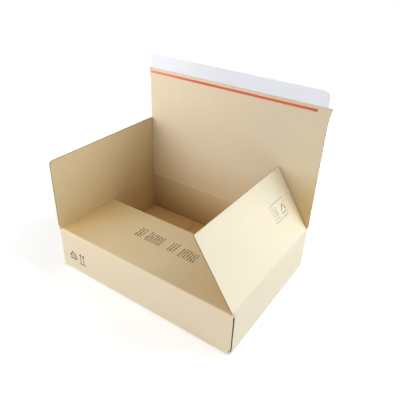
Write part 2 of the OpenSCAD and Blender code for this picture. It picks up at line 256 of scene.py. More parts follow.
paint_links.new(glow.outputs[0], paint_shader.inputs["Emission Strength"])

floor_mesh = bpy.data.meshes.new("floor")
floor_mesh.from_pydata([(x * floor_half, y * floor_half, -floor_sunk)
                        for x, y in ((-1, -1), (1, -1), (1, 1), (-1, 1))],
                       [], [(0, 1, 2, 3)])
floor_mesh.materials.append(floor_paint)
floor = bpy.data.objects.new("floor", floor_mesh)
bpy.context.scene.collection.objects.link(floor)
print(len(far_lamps) + len(near_lamps), "lamps and a sky of", sky_strength,
      "over a floor", 2 * floor_half, "m wide")

# %% [markdown]
# Kraft paper is not one colour. It has clouds where the pulp was thicker,
# short fibres that lie along the roll, dark specks of bark, and a faint
# washboard where the flutes of the board show through. Each of these is one
# noise or wave, and each nudges the same colour a little up or down. The
# fibres and the washboard also lift the surface by a few hundredths of a
# millimetre.

# %% Node helpers
FLUTE_PITCH = 6.5 * MM


def linear(code):
    """A colour written as on a screen, such as D8C49A, in the units that shaders use."""
    parts = [int(code[i:i + 2], 16) / 255 for i in (0, 2, 4)]
    return [p / 12.92 if p <= 0.04045 else ((p + 0.055) / 1.055) ** 2.4 for p in parts]


class Finish:
    """A material with a few short ways to add noise to it."""

    def __init__(self, name, roughness, gloss):
        self.material = bpy.data.materials.new(name)
        self.material.use_nodes = True
        self.nodes = self.material.node_tree.nodes
        self.links = self.material.node_tree.links
        self.shader = self.nodes["Principled BSDF"]
        self.shader.inputs["Roughness"].default_value = roughness
        self.shader.inputs["Specular IOR Level"].default_value = gloss
        self.place = self.nodes.new("ShaderNodeTexCoord").outputs["Object"]

    def math(self, operation, a, b, c=None):
        node = self.nodes.new("ShaderNodeMath")
        node.operation = operation
        for socket, value in zip(node.inputs, (a, b, c)):
            if isinstance(value, bpy.types.NodeSocket):
                self.links.new(value, socket)
            elif value is not None:
                socket.default_value = value
        return node.outputs[0]

    def stretched(self, scale):
        node = self.nodes.new("ShaderNodeMapping")
        node.inputs["Scale"].default_value = scale
        self.links.new(self.place, node.inputs["Vector"])
        return node.outputs["Vector"]

    def noise(self, scale, detail=3.0, stretch=(1, 1, 1), rough=0.5):
        node = self.nodes.new("ShaderNodeTexNoise")
        node.inputs["Scale"].default_value = scale
        node.inputs["Detail"].default_value = detail
        node.inputs["Roughness"].default_value = rough
        self.links.new(self.stretched(stretch), node.inputs["Vector"])
        return node.outputs["Fac"]

    def ramp(self, value, low, high, to_low=0.0, to_high=1.0):
        node = self.nodes.new("ShaderNodeMapRange")
        node.interpolation_type = "SMOOTHSTEP"
        node.inputs["From Min"].default_value = low
        node.inputs["From Max"].default_value = high
        node.inputs["To Min"].default_value = to_low
        node.inputs["To Max"].default_value = to_high
        self.links.new(value, node.inputs["Value"])
        return node.outputs["Result"]

    def axis(self, name):
        node = self.nodes.new("ShaderNodeSeparateXYZ")
        self.links.new(self.place, node.inputs[0])
        return node.outputs[name]

    def between(self, share, low, high):
        """The colour that goes from low to high as share goes from 0 to 1.

        Low is a code or another colour, and high is a code."""
        node = self.nodes.new("ShaderNodeMix")
        node.data_type = "RGBA"
        self.links.new(share, node.inputs["Factor"])
        if isinstance(low, str):
            node.inputs["A"].default_value = (*linear(low), 1)
        else:
            self.links.new(low, node.inputs["A"])
        node.inputs["B"].default_value = (*linear(high), 1)
        return node.outputs["Result"]

    def shade(self, colour, parts):
        """Paints a colour, made lighter and darker by each (value, amount).

        The colour is a code or another colour, and it stays the middle."""
        level = 1 - sum(amount for _, amount in parts) / 2
        for value, amount in parts:
            level = self.math("MULTIPLY_ADD", value, amount, level)
        node = self.nodes.new("ShaderNodeVectorMath")
        node.operation = "SCALE"
        if isinstance(colour, str):
            node.inputs[0].default_value = linear(colour)
        else:
            self.links.new(colour, node.inputs[0])
        self.links.new(level, node.inputs["Scale"])
        self.links.new(node.outputs[0], self.shader.inputs["Base Color"])
        return node.outputs[0]

    def mix(self, share, low, high):
        """Paints from one colour to another as share goes from 0 to 1."""
        self.links.new(self.between(share, low, high), self.shader.inputs["Base Color"])

    def bump(self, height, distance, strength=0.5):
        node = self.nodes.new("ShaderNodeBump")
        node.inputs["Distance"].default_value = distance
        node.inputs["Strength"].default_value = strength
        self.links.new(height, node.inputs["Height"])
        self.links.new(node.outputs["Normal"], self.shader.inputs["Normal"])


print("flutes every", FLUTE_PITCH / MM, "mm")

# %% [markdown]
# The board has two liners. The outer one is the smoother and paler paper, the
# inner one is browner. The panels' tones differ, partly as painted light and
# shade: the right flap is a paler copy where it is brightly lit, and the front
# flap a warmer one where it lies in shade. Down in the tray the inner liner is
# painted browner still, as painted shade and warm bounce light, with a painted
# shadow at the foot of each wall, and the tray floor is painted paler, as painted
# light from above. Where a panel changes its tone from one end to the other, a
# second colour fades in over a zone of it: these are painted light and shade too.
# The flutes run from the bottom of the box up through each wall and its flap, so
# the washboard counts across X on the front, the back and the lid, and across Y
# on the two sides. One function makes them all.

# %% Kraft paper
# The zones and colours below are painted light and shade: browner low in the tray, a painted shadow
# at the foot of a wall, and warm painted shade by the lid's hinge and by the left flap.
tray_shade_heights = (0.02, 0.20)  # each zone in metres, along one axis of the box
foot_shadow_heights = (0.0035, 0.007)
low_on_the_lid = (0.10, 0.26)
right_end_of_the_lid = (0.10, 0.18)
back_end_of_a_flap = (0.085, 0.135)
left_end_of_a_flap = (-0.195, -0.06)
foot_shadow_colour = "7A5B33"
foot_shadow_share = 0.4


def kraft(name, colour, across, painted_tray_shade=None, paler_left=0.0, painted_shade_by_the_hinge=None,
          painted_bounce_by_the_left=None):
    """Kraft paper, with flutes counted across one axis.

    It can have painted shade and warm bounce light low down in the tray, with a
    painted shadow at the foot of a wall, a painted highlight that is paler to the
    left, and warm painted shade beside the right end of the lid's hinge, at the
    back of the right flap, and beside the left flap."""
    finish = Finish(name, roughness=0.86, gloss=0.25)
    grain = {"X": (1, 7, 7), "Y": (7, 1, 7)}[across]
    clouds = finish.noise(14, 3)
    mottle = finish.noise(170, 4, rough=0.6)
    fibres = finish.noise(260, 5, stretch=grain, rough=0.65)
    specks = finish.ramp(finish.noise(900, 2), 0.70, 0.80)
    position = finish.axis(across)
    turns = finish.math("MULTIPLY", position, 2 * math.pi / FLUTE_PITCH)
    wave = finish.math("SINE", turns, 0)
    washboard = finish.math("MULTIPLY_ADD", wave, 0.5, 0.5)
    parts = [(clouds, 0.06), (mottle, 0.07), (fibres, 0.10), (washboard, 0.014), (specks, -0.18)]
    # On the lid this is a painted highlight: paler towards the left of the box and darker towards
    # the right.
    if paler_left:
        parts.append((finish.ramp(finish.axis("X"), -half_w, half_w, 1.0, 0.0), paler_left))
    # Painted shade and warm bounce light: low in the tray the colour fades into a browner one.
    if painted_tray_shade:
        deep_tray_shade = finish.ramp(finish.axis("Z"), *tray_shade_heights, 1.0, 0.0)
        colour = finish.between(deep_tray_shade, colour, painted_tray_shade)
        # A painted shadow at the foot of each wall, where it meets the tray floor.
        foot = finish.ramp(finish.axis("Z"), *foot_shadow_heights, foot_shadow_share, 0.0)
        colour = finish.between(foot, colour, foot_shadow_colour)
    # On the lid, warm painted shade and reflected light low at its right end, behind the right
    # flap.
    if painted_shade_by_the_hinge and across == "X":
        low = finish.ramp(finish.axis("Z"), *low_on_the_lid, 1.0, 0.0)
        right_end = finish.ramp(finish.axis("X"), *right_end_of_the_lid)
        colour = finish.between(finish.math("MULTIPLY", low, right_end), colour, painted_shade_by_the_hinge)
    # On the right flap, warm painted shade and reflected light from the lid at its back end.
    if painted_shade_by_the_hinge and across == "Y":
        back_end = finish.ramp(finish.axis("Y"), *back_end_of_a_flap)
        colour = finish.between(back_end, colour, painted_shade_by_the_hinge)
    # Warm painted shade and bounce light from the left flap, towards the left end.
    if painted_bounce_by_the_left:
        left_end = finish.ramp(finish.axis("X"), *left_end_of_a_flap, 1.0, 0.0)
        colour = finish.between(left_end, colour, painted_bounce_by_the_left)
    finish.shade(colour, parts)
    height = finish.math("MULTIPLY_ADD", washboard, 0.5, fibres)
    finish.bump(height, 0.06 * MM)
    return finish.material


# These tones are partly painted light and shade: each was set for how the panel is lit, so they
# differ from panel to panel.
outer_tones = (  # panel, colour, axis across its flutes
    ("front_wall", "D6C7AD", "X"),
    ("back_wall", "DCCEB4", "X"),
    ("side_walls", "D7D0BB", "Y"),
    ("left_flap", "D8D0BA", "Y"),
    ("lid", "DFD2B8", "X"),
    ("side_panels", "D7CBB2", "Y"),
)
# The colours low down are painted shade and warm bounce light in the tray.
inner_tones = (  # panel, colour, colour low down, axis across its flutes
    ("wide_walls", "DACBB0", "CDB07E", "X"),
    ("side_walls", "D5C29C", "D9BF90", "Y"),
    ("left_flap", "D7C49D", "D5BC8C", "Y"),
    ("right_flap", "D2BF98", "D2B27E", "Y"),
)
outer = {name: kraft("outer_liner_" + name, colour, across)
         for name, colour, across in outer_tones}
inner = {name: kraft("inner_liner_" + name, colour, across, deep_tray_shade)
         for name, colour, deep_tray_shade, across in inner_tones}
# The lid's inner liner: painted shade low down, a painted highlight to the left, and warm painted
# shade low at its right end.
inner["lid"] = kraft("inner_liner_lid", "DACBB0", "X", "D6B886", paler_left=0.22,
                     painted_shade_by_the_hinge="D8BC80")
# The front flap's tone is warmer for the shade it lies in, with painted bounce light and shade from
# the left flap at its left end.
outer["front_flap"] = kraft("outer_liner_front_flap", "DAC69F", "X", painted_bounce_by_the_left="CFB27E")
# The right flap's outer liner is a paler copy, painted light for the brightly lit flap, with warm
# painted shade at its back end beside the lid.
outer["right_flap"] = kraft("outer_liner_right_flap", "DFD7C0", "Y", painted_shade_by_the_hinge="E6DABA")
# The tray floor is a paler, browner copy of the inner liner: painted light standing in for light
# from above.
inner["tray_floor"] = kraft("inner_liner_tray_floor", "DDB57A", "X")
print("outer liners:", list(outer), "inner liners:", list(inner))

# %% [markdown]
# A cut edge looks into the flutes, so the board's flat end is painted darker
# than its faces, partly the brown of the fluting inside and partly painted shade
# in the open flutes, and the fluting paper between the liners is a rougher brown.
# A folded edge is the opposite: the stretched outer liner is painted as a pale,
# slightly crackled line, partly the paler stretched paper and partly a painted
# highlight where it catches the light.

# %% Cut edges and folds
def cut_edge_finish():
    finish = Finish("cut_edge_with_flute_shade", roughness=0.95, gloss=0.1)
    # The flat end is painted darker: the brown of the fluting, and painted shade in the open
    # flutes.
    finish.shade("A28659", [(finish.noise(500, 4), 0.5), (finish.noise(40, 2), 0.15)])
    return finish.material


def fluting_finish():
    finish = Finish("fluting_paper", roughness=0.92, gloss=0.15)
    fibres = finish.noise(700, 4, stretch=(1, 1, 4))
    finish.shade("BC9D69", [(fibres, 0.3), (finish.noise(60, 2), 0.1)])
    finish.bump(fibres, 0.05 * MM)
    return finish.material


def fold_stretch_and_highlight_finish():
    finish = Finish("kraft_fold_stretch_and_highlight", roughness=0.80, gloss=0.3)
    crackle = finish.noise(420, 5, stretch=(1, 3, 3), rough=0.7)
    # Pale stretched paper, and a painted highlight along the fold.
    finish.shade("EAD6B6", [(finish.noise(30, 3), 0.08), (crackle, 0.14)])
    finish.bump(crackle, 0.10 * MM)
    return finish.material


cut_edge_with_flute_shade = cut_edge_finish()
fluting = fluting_finish()
folded = fold_stretch_and_highlight_finish()
print("edge finishes:", cut_edge_with_flute_shade.name, fluting.name, folded.name)

# %% [markdown]
# The built walls, flaps and lid are right in shape, so they stay, and only
# their faces are sorted by finish. The board is thin and its panels are wide,
# which gives a simple test: from the middle of a face, look straight into the
# board. If the far side is near, the face is a liner. If it is far away, the
# look goes along the sheet, and the face is a cut edge. In the bottom, where
# two layers are glued together, a liner may be two boards from the far side.

# %% Sort the faces of the built board
fold_zone = 4.2 * MM
relief_r = 17 * MM
relief_zone = relief_r + 0.2 * MM
bottom_layers = 2.4 * board
glued_depth = 2.3 * board
side_panel_len = 136 * MM
side_panel_end = half_w - side_panel_len
slack = 0.1 * MM
no_far_side = 1.0


def depth_behind(tree, polygon):
    """How much board lies behind a face, or a metre where the look goes past it."""
    just_inside = Vector(polygon.center) - Vector(polygon.normal) * 1e-5
    distance = tree.ray_cast(just_inside, -Vector(polygon.normal))[3]
    return no_far_side if distance is None else distance


def on_outer_shell(centre, normal):
    """True for the outside of a wall or a fold, and for the underside."""
    past_x, past_y = abs(centre.x) - half_w, abs(centre.y) - half_d
    if centre.z < relief_zone:
        in_front_or_back = past_y > -board - slack and abs(normal.y) < 0.05
        in_a_side = past_x > -board - slack and abs(normal.x) < 0.05
        if in_front_or_back and past_x > -relief_zone:
            return False
        if in_a_side and past_y > -relief_zone:
            return False
    if centre.y < -half_d + board and normal.x > 0.9 and past_x > -1 * MM and centre.x > 0:
        return False
    sideways = normal.x * math.copysign(1, centre.x) > 0.3 and past_x > -fold_zone
    lengthways = normal.y * math.copysign(1, centre.y) > 0.3 and past_y > -fold_zone
    return sideways or lengthways


def carton_finish(centre, normal, depth):
    """The finish of one face of the walls, the front flap or the bottom."""
    on_front_flap = centre.z > front_crease_z - fold_zone * 2 and centre.y > -half_d + board
    on_front_fold = centre.z > front_crease_z - fold_zone and centre.y < -half_d + fold_zone
    if on_front_fold and (normal.y < -0.05 or normal.z > 0.05) and depth < glued_depth:
        # The front fold's bend is painted pale: partly the stretched paper, partly a painted
        # highlight where it catches the light.
        return folded if 0.2 < normal.z < 0.97 else outer["front_wall"]
    if on_front_flap and abs(normal.z) > 0.5 and depth < glued_depth:
        return outer["front_flap"] if normal.z > 0 else inner["wide_walls"]
    if on_outer_shell(centre, normal):
        if abs(normal.x) > abs(normal.y):
            return outer["side_walls"]
        return outer["front_wall" if centre.y < 0 else "back_wall"]
    if depth > glued_depth and centre.z < bottom_layers:
        # The free end of each side panel takes the tray floor's colour, not the fluting's: painted
        # light over the dark line of shade it would show.
        free_edge = abs(normal.x) > 0.7 and abs(abs(centre.x) - side_panel_end) < 1 * MM
        return inner["tray_floor"] if free_edge else fluting
    if depth > glued_depth:
        return cut_edge_with_flute_shade
    if abs(normal.z) > 0.7:
        side_panel = centre.z > board and abs(centre.x) > side_panel_end
        if normal.z < 0:
            return outer["side_panels" if side_panel else "front_wall"]
        return inner["tray_floor"]
    return inner["side_walls" if abs(normal.x) > abs(normal.y) else "wide_walls"]


def flap_finish(panel, name):
    """A chooser for a flap or the lid: outer liner, inner liner or cut edge."""
    def choose(centre, normal, depth):
        if depth > glued_depth:
            return cut_edge_with_flute_shade
        return outer[name] if normal.dot(panel.out) > 0 else inner[name]
    return choose


def paint_built(name, choose):
    node = frame["nodes"][name]
    mesh = node.data
    tree = BVHTree.FromPolygons([v.co for v in mesh.vertices],
                                [p.vertices for p in mesh.polygons])
    mesh.materials.clear()
    slots = {}
    for polygon in mesh.polygons:
        finish = choose(polygon.center, polygon.normal, depth_behind(tree, polygon))
        if finish.name not in slots:
            slots[finish.name] = len(mesh.materials)
            mesh.materials.append(finish)
        polygon.material_index = slots[finish.name]
    print(name, "takes", list(slots))


paint_built("carton_body", carton_finish)
for name, panel in (("left_flap", left_flap), ("right_flap", right_flap), ("lid", lid)):
    paint_built(name, flap_finish(panel, name))

# %% [markdown]
# Most of what is added is a strip with the same outline all the way along: a
# liner's cut edge, a wave of fluting, a crease. One small class collects such
# strips into a closed mesh. A strip is a row of rings, each ring is joined to
# the next, and both ends are capped, so no face is left open.

# %% A class for strips of paper
class Strips:
    """Closed strips of any outline, collected into one mesh."""

    def __init__(self):
        self.points = []
        self.faces = []
        self.finishes = []

    def add(self, rings, finish):
        """Adds one strip: its first cap, its sides ring by ring, its last cap."""
        first = len(self.points)
        size = len(rings[0])
        for ring in rings:
            self.points.extend(ring)
        made = [tuple(reversed(range(first, first + size)))]
        for i in range(len(rings) - 1):
            row = first + i * size
            for j in range(size):
                k = (j + 1) % size
                made.append((row + j, row + k, row + size + k, row + size + j))
        last = first + (len(rings) - 1) * size
        made.append(tuple(range(last, last + size)))
        self.faces.extend(made)
        self.finishes.extend([finish] * len(made))

    def build(self, name, smooth=False):
        mesh = bpy.data.meshes.new(name)
        mesh.from_pydata([tuple(p) for p in self.points], [], self.faces)
        wanted = []
        for finish in self.finishes:
            if finish not in wanted:
                wanted.append(finish)
                mesh.materials.append(finish)
        for polygon, finish in zip(mesh.polygons, self.finishes):
            polygon.material_index = wanted.index(finish)
            polygon.use_smooth = smooth
        tidy = bmesh.new()
        tidy.from_mesh(mesh)
        bmesh.ops.recalc_face_normals(tidy, faces=tidy.faces)
        tidy.to_mesh(mesh)
        tidy.free()
        piece = bpy.data.objects.new(name, mesh)
        bpy.context.scene.collection.objects.link(piece)
        print(name, "has", len(mesh.polygons), "faces")
        return piece


print("a strip's rings can have any number of points")

# %% [markdown]
# Seen from the end, corrugated board is two thin liners with a wave between
# them. The wave shows on an edge that crosses the flutes, such as a flap's
# free edge. An edge that runs with the flutes shows only the torn side of one
# flute, which wanders slowly from one liner to the other. The trims below
# stand half a millimetre above the board's end, and the end behind them is
# painted dark, a painted shade that gives the depth of the open flutes.

# %% Trims for the cut edges
LINER_THICK = 0.28 * MM
FLUTING_THICK = 0.22 * MM
TRIM_SUNK = 0.10 * MM
TRIM_PROUD = 0.50 * MM
FLUTING_BELOW = 0.08 * MM
wave_reach = half_board - LINER_THICK - FLUTING_THICK / 2
steps_per_flute = 12
torn_step = 3 * MM
torn_share = 0.7
torn_length = 31 * MM
dice = random.Random(7)


def edge_normals(points):
    """For points (along, up) on an edge, the direction off the sheet at each."""
    normals = []
    for i in range(len(points)):
        before = points[max(i - 1, 0)]
        after = points[min(i + 1, len(points) - 1)]
        run = Vector((after[0] - before[0], after[1] - before[1])).normalized()
        normals.append(Vector((run.y, -run.x)))
    return normals


def edge_strip(strips, panel, points, low, high, proud, finish):
    """A strip on a cut edge, between two distances from the middle of the board.

    Each distance is a list, with one value for each point of the edge."""
    rings = []
    for (along, up), normal, a, b in zip(points, edge_normals(points), low, high):
        corners = ((a, -TRIM_SUNK), (b, -TRIM_SUNK), (b, proud), (a, proud))
        rings.append([panel.at(along + normal.x * reach, up + normal.y * reach, out)
                      for out, reach in corners])
    strips.add(rings, finish)


def resample(points, step):
    """Points along the same line, no further apart than step."""
    made = [points[0]]
    for a, b in zip(points, points[1:]):
        count = max(1, math.ceil(math.dist(a, b) / step))
        for i in range(1, count + 1):
            made.append((a[0] + (b[0] - a[0]) * i / count,
                         a[1] + (b[1] - a[1]) * i / count))
    return made


def trim_edge(strips, panel, points, liners, waved):
    """Both liners and the fluting along one cut edge."""
    count = len(points)
    strips_at = ((half_board - LINER_THICK, half_board, liners[0]),
                 (-half_board, LINER_THICK - half_board, liners[1]))
    for low, high, finish in strips_at:
        edge_strip(strips, panel, points, [low] * count, [high] * count, TRIM_PROUD, finish)
    travelled = 0.0
    fine = resample(points, FLUTE_PITCH / steps_per_flute if waved else torn_step)
    middles = []
    for i, point in enumerate(fine):
        travelled += math.dist(point, fine[i - 1]) if i else 0.0
        if waved:
            middles.append(wave_reach * math.sin(2 * math.pi * travelled / FLUTE_PITCH))
        else:
            middles.append(wave_reach * torn_share * math.sin(travelled / torn_length))
    half = FLUTING_THICK / 2
    edge_strip(strips, panel, fine, [m - half for m in middles], [m + half for m in middles],
               TRIM_PROUD - FLUTING_BELOW, fluting)


def corner_arc(centre, radius, start, stop, steps=6):
    """Points on an arc, with its ends given in degrees."""
    angles = [math.radians(start + (stop - start) * i / steps) for i in range(steps + 1)]
    return [(centre[0] + radius * math.cos(a), centre[1] + radius * math.sin(a))
            for a in angles]


def flap_edges(a0, a1, length, root, r0, r1):
    """The three cut edges of a flap with two round corners, as (points, waved)."""
    right_side = [(a1, root)] + corner_arc((a1 - r1, length - r1), r1, 0, 90)
    free_edge = [(a1 - r1, length), (a0 + r0, length)]
    left_side = corner_arc((a0 + r0, length - r0), r0, 90, 180) + [(a0, root)]
    return [(right_side, False), (free_edge, True), (left_side, False)]


flap_root = 3.2 * MM
front_root = 6 * MM
front_half = half_w - board - 0.6 * MM
flap_trims = (
    ("left_flap", left_flap,
     flap_edges(-flap_high.y, -flap_low.y, side_flap_len, flap_root, flap_corner, worn_corner)),
    ("right_flap", right_flap,
     flap_edges(flap_low.y, flap_high.y, side_flap_len, flap_root, flap_corner, flap_corner)),
    ("front_flap", front_flap,
     flap_edges(-front_half, front_half, front_flap_len, front_root, flap_corner, flap_corner)),
)
for name, panel, edges in flap_trims:
    strips = Strips()
    liners = (outer[name], inner.get(name, inner["wide_walls"]))
    for points, waved in edges:
        trim_edge(strips, panel, points, liners, waved)
    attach(strips.build(name + "_edges"), panel.body)

# %% [markdown]
# The lid's outline is more than a rectangle: its sides draw in a little and
# then flare out to two ears, and past the score the sealing edge is cut back
# and rounded. The trims follow that outline with the same formula and the same
# number of steps as the lid itself.

# %% The lid's edges
lid_half = half_w - 0.5 * MM
lid_waist = 0.5 * MM
lid_ear = 4.2 * MM
lid_len = 250.5 * MM
lid_flare = 38 * MM
lid_flare_at = lid_len - lid_flare
flare_steps = 8
seal_w = 29 * MM
seal_corner = 10 * MM
seal_inset = 9.5 * MM
seal_half = lid_half - lid_waist + lid_ear - seal_inset
seal_start = 1 * MM
trim_gap = 0.5 * MM


def lid_edge(v):
    """Half the lid's width at a height above its crease."""
    if v < lid_flare_at:
        return lid_half - lid_waist * v / lid_flare_at
    return lid_half - lid_waist + lid_ear * ((v - lid_flare_at) / lid_flare) ** 2


heights = [flap_root] + [lid_flare_at + lid_flare * i / flare_steps for i in range(flare_steps + 1)]
rising = [(lid_edge(v), v) for v in heights]
ear_half = rising[-1][0]
seal_top = lid_len + seal_w
lid_paths = [
    (rising, False),
    ([(ear_half, lid_len), (seal_half + trim_gap, lid_len)], True),
    ([(seal_half, lid_len + seal_start)]
     + corner_arc((seal_half - seal_corner, seal_top - seal_corner), seal_corner, 0, 90), False),
    ([(seal_half - seal_corner, seal_top), (-seal_half + seal_corner, seal_top)], True),
    (corner_arc((-seal_half + seal_corner, seal_top - seal_corner), seal_corner, 90, 180)
     + [(-seal_half, lid_len + seal_start)], False),
    ([(-seal_half - trim_gap, lid_len), (-ear_half, lid_len)], True),
    ([(-a, v) for a, v in reversed(rising)], False),
]
strips = Strips()
for points, waved in lid_paths:
    trim_edge(strips, lid, points, (outer["lid"], inner["lid"]), waved)
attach(strips.build("lid_edges"), "lid_sheet")

# %% [markdown]
# At the glued corner the front panel ends in a raw edge that runs with the
# flutes. It opens one flute along its whole height. The outer liner goes on as
# a thin pale strip, and the open flute beside it is a band of painted shadow, dark
# and with no fluting in it, from just above the rounded foot up to the crease.

# %% The raw edge at the glued corner
raw_edge_x = half_w - 0.6 * MM
raw_edge_top = front_crease_z - 6 * MM
raw_liner_proud = 0.45 * MM
channel_foot = 11.0 * MM
channel_top = front_crease_z - 1.5 * MM
channel_back = half_board + 0.9 * MM
channel_proud = 0.66 * MM
# A thin dark strip of painted shadow, standing proud over the open flute.
open_flute_shadow = Finish("shade_in_the_open_flute", roughness=0.95, gloss=0.1)
open_flute_shadow.shade("3F2E19", [(open_flute_shadow.noise(300, 3, stretch=(1, 1, 0.2)), 0.4)])

strips = Strips()
raw_edge = corner_arc((half_w - relief_r, relief_r), relief_r, -65, -16, 8)
raw_edge += [(raw_edge_x, relief_r), (raw_edge_x, raw_edge_top)]
count = len(raw_edge)
edge_strip(strips, front_wall, raw_edge, [half_board - LINER_THICK] * count,
           [half_board] * count, raw_liner_proud, outer["front_wall"])
channel = [(raw_edge_x, channel_foot), (raw_edge_x, channel_top)]
edge_strip(strips, front_wall, channel, [-channel_back] * 2, [half_board - LINER_THICK] * 2,
           channel_proud, open_flute_shadow.material)
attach(strips.build("raw_edge"), "carton")

# %% [markdown]
# At the two back corners the paper of the walls runs on round the corner below
# the relief cuts, and closes all but a pinhole of the gap that the cuts leave.
# Each web is an L of board, a hair thinner than the walls that it joins, with a
# square plate of the floor below it. Both are outlines, raised in two rings.

# %% Webs in the back corners
WEB_INSET = 0.05 * MM
web_leg = 12 * MM
web_low, web_high = 2.3 * MM, 16 * MM
web_corner = 4 * MM
plate_near, plate_far = 3.9, 18
plate_low, plate_high = 0.15 * MM, board - 0.1 * MM


def raised(outline, side, low, high):
    """An outline at two heights, for the right corner (1) or the left one (-1)."""
    return [[Vector((side * x, y, z)) for x, y in outline] for z in (low, high)]


near, far = WEB_INSET, board - WEB_INSET
web_arc = corner_arc((half_w - web_corner, half_d - web_corner), web_corner - near, 0, 90)
web = [(half_w - web_leg, half_d - far), (half_w - web_leg, half_d - near)]
web += list(reversed(web_arc))
web += [(half_w - near, half_d - web_leg), (half_w - far, half_d - web_leg),
        (half_w - far, half_d - far)]
web_inside = {len(web) - 2: "side_walls", len(web) - 1: "wide_walls"}
plate = [(half_w - a * MM, half_d - b * MM)
         for a, b in ((plate_near, plate_near), (plate_near, plate_far),
                      (plate_far, plate_far), (plate_far, plate_near))]
strips = Strips()
for side in (-1, 1):
    first_side = len(strips.faces) + 1
    strips.add(raised(web, side, web_low, web_high), outer["back_wall"])
    for j, wall in web_inside.items():
        strips.finishes[first_side + j] = inner[wall]
    strips.add(raised(plate, side, plate_low, plate_high), inner["tray_floor"])
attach(strips.build("back_corner_webs"), "carton")

# %% [markdown]
# A crease is a line where the board was crushed so that it folds there. On
# the built box it is a bead between two mitred edges. The paper itself is
# unbroken, so a sleeve of paper covers the bead on both faces, with two low
# ridges and a paler line on the inner one, where the crushed paper wrinkled. It
# runs over the wall below the crease and the flap above it, bent in between at
# the flap's lean.

# %% Sleeves over the creases
sleeve_reach = 5.2 * MM
sleeve_bend = 1.0 * MM
sleeve_steps = 26
sleeve_stations = 60
bead_height, bead_width = 0.27 * MM, 3.0 * MM
ridge_height, ridge_at, ridge_width = 0.16 * MM, 2.6 * MM, 0.8 * MM
sink_depth, sink_from = 0.16 * MM, 3.4 * MM
pale_half, pale_shift = 1.0 * MM, 0.4 * MM
crease_ridge = kraft("inner_liner_on_a_crease", "DFCDA8", "X")


def sleeve_rise(s, inside):
    """How far the paper lies from the middle of the board, at distance s from the crease."""
    bead = bead_height * math.exp(-(s / bead_width) ** 2)
    ridge = ridge_height * math.exp(-((abs(s) - ridge_at) / ridge_width) ** 2) if inside else 0.0
    sink = sink_depth * max(0.0, (abs(s) - sink_from) / (sleeve_reach - sink_from))
    return half_board + bead + ridge - sink


def sleeve_middle(s, lean_dir):
    """Point and direction (out, up) in the middle of the board, at distance s past the crease."""
    below, above = Vector((0, 1)), lean_dir
    if s <= -sleeve_bend:
        return below * s, below
    if s >= sleeve_bend:
        return above * s, above
    t = (s + sleeve_bend) / (2 * sleeve_bend)
    point = below * (-sleeve_bend) * (1 - t) ** 2 + above * sleeve_bend * t ** 2
    heading = below * (1 - t) + above * t
    return point, heading.normalized()


def crease_sleeve(name, panel, a0, a1, liners):
    """A sleeve from a0 to a1 along a crease, in an outer and an inner liner."""
    wall_up = Vector((0, 0, 1))
    wall_out = panel.along.cross(wall_up)
    lean_dir = Vector((panel.up.dot(wall_out), panel.up.dot(wall_up)))
    spans = [-sleeve_reach + 2 * sleeve_reach * i / sleeve_steps
             for i in range(sleeve_steps + 1)]
    rows = []
    for i in range(sleeve_stations + 1):
        along = a0 + (a1 - a0) * i / sleeve_stations
        wander = 1 + 0.10 * math.sin(along * 90) + dice.uniform(-0.05, 0.05)
        here = panel.root + panel.along * along
        ring = []
        for inside in (False, True):
            for s in (reversed(spans) if inside else spans):
                middle, heading = sleeve_middle(s, lean_dir)
                rise = (sleeve_rise(s, inside) - half_board) * wander + half_board
                flat = middle + Vector((heading.y, -heading.x)) * (-rise if inside else rise)
                ring.append(here + wall_out * flat.x + wall_up * flat.y)
        rows.append(ring)
    strips = Strips()
    strips.add(rows, liners[0])
    count = len(spans)
    for f in range(1, len(strips.faces) - 1):
        j = (f - 1) % (2 * count) - count
        if j >= 0:
            pale = abs(spans[count - 1 - j] + pale_shift) < pale_half
            strips.finishes[f] = crease_ridge if pale else liners[1]
    sleeve = strips.build(name, smooth=True)
    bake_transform(sleeve)


side_front, side_back = 144.6 * MM, 142.2 * MM
lid_end = 198.6 * MM
crease_sleeve("left_crease", left_flap, -side_back, side_front,
              (outer["side_walls"], inner["left_flap"]))
crease_sleeve("right_crease", right_flap, -side_front, side_back,
              (outer["side_walls"], inner["side_walls"]))
crease_sleeve("lid_crease_cover", lid, -lid_end, lid_end, (outer["lid"], inner["lid"]))

# %% [markdown]
# The printed marks on such a box are handling and recycling marks and small
# paragraphs. They are drawn here as plain bars and simple shapes with no
# wording: flat pieces of ink a tenth of a millimetre thick, half of it sunk
# into the paper. Places are counted along the crease and up from it.

# %% Ink
INK_PROUD = 0.05 * MM


def ink_finish(name, colour, patchy):
    """Dull ink that took to the paper unevenly."""
    finish = Finish(name, roughness=0.75, gloss=0.3)
    finish.shade(colour, [(finish.noise(1400, 3), patchy), (finish.noise(220, 3), patchy / 2)])
    return finish.material


wall_ink = ink_finish("ink_on_the_wall", "3D382F", 0.35)
flap_ink = ink_finish("ink_on_the_flaps", "3C3022", 0.45)
shortest_word = 1 * MM
word_length = (2.5, 11.0)  # in millimetres, as the gap and the nudge are
word_gap = (1.2, 2.0)
word_nudge = 0.25
word_weight = (0.75, 1.1)  # shares of a row's height


def ink_patch(strips, panel, outline, finish):
    """A flat patch of ink on a printed face, with its outline as (along, up)."""
    low = [panel.at(a, u, half_board - INK_PROUD) for a, u in outline]
    high = [panel.at(a, u, half_board + INK_PROUD) for a, u in outline]
    strips.add([low, high], finish)


def ink_bar(strips, panel, start, end, width, finish):
    """A straight bar of ink between two places."""
    a, b = Vector(start), Vector(end)
    side = Vector((-(b - a).y, (b - a).x)).normalized() * width / 2
    ink_patch(strips, panel, [a + side, a - side, b - side, b + side], finish)


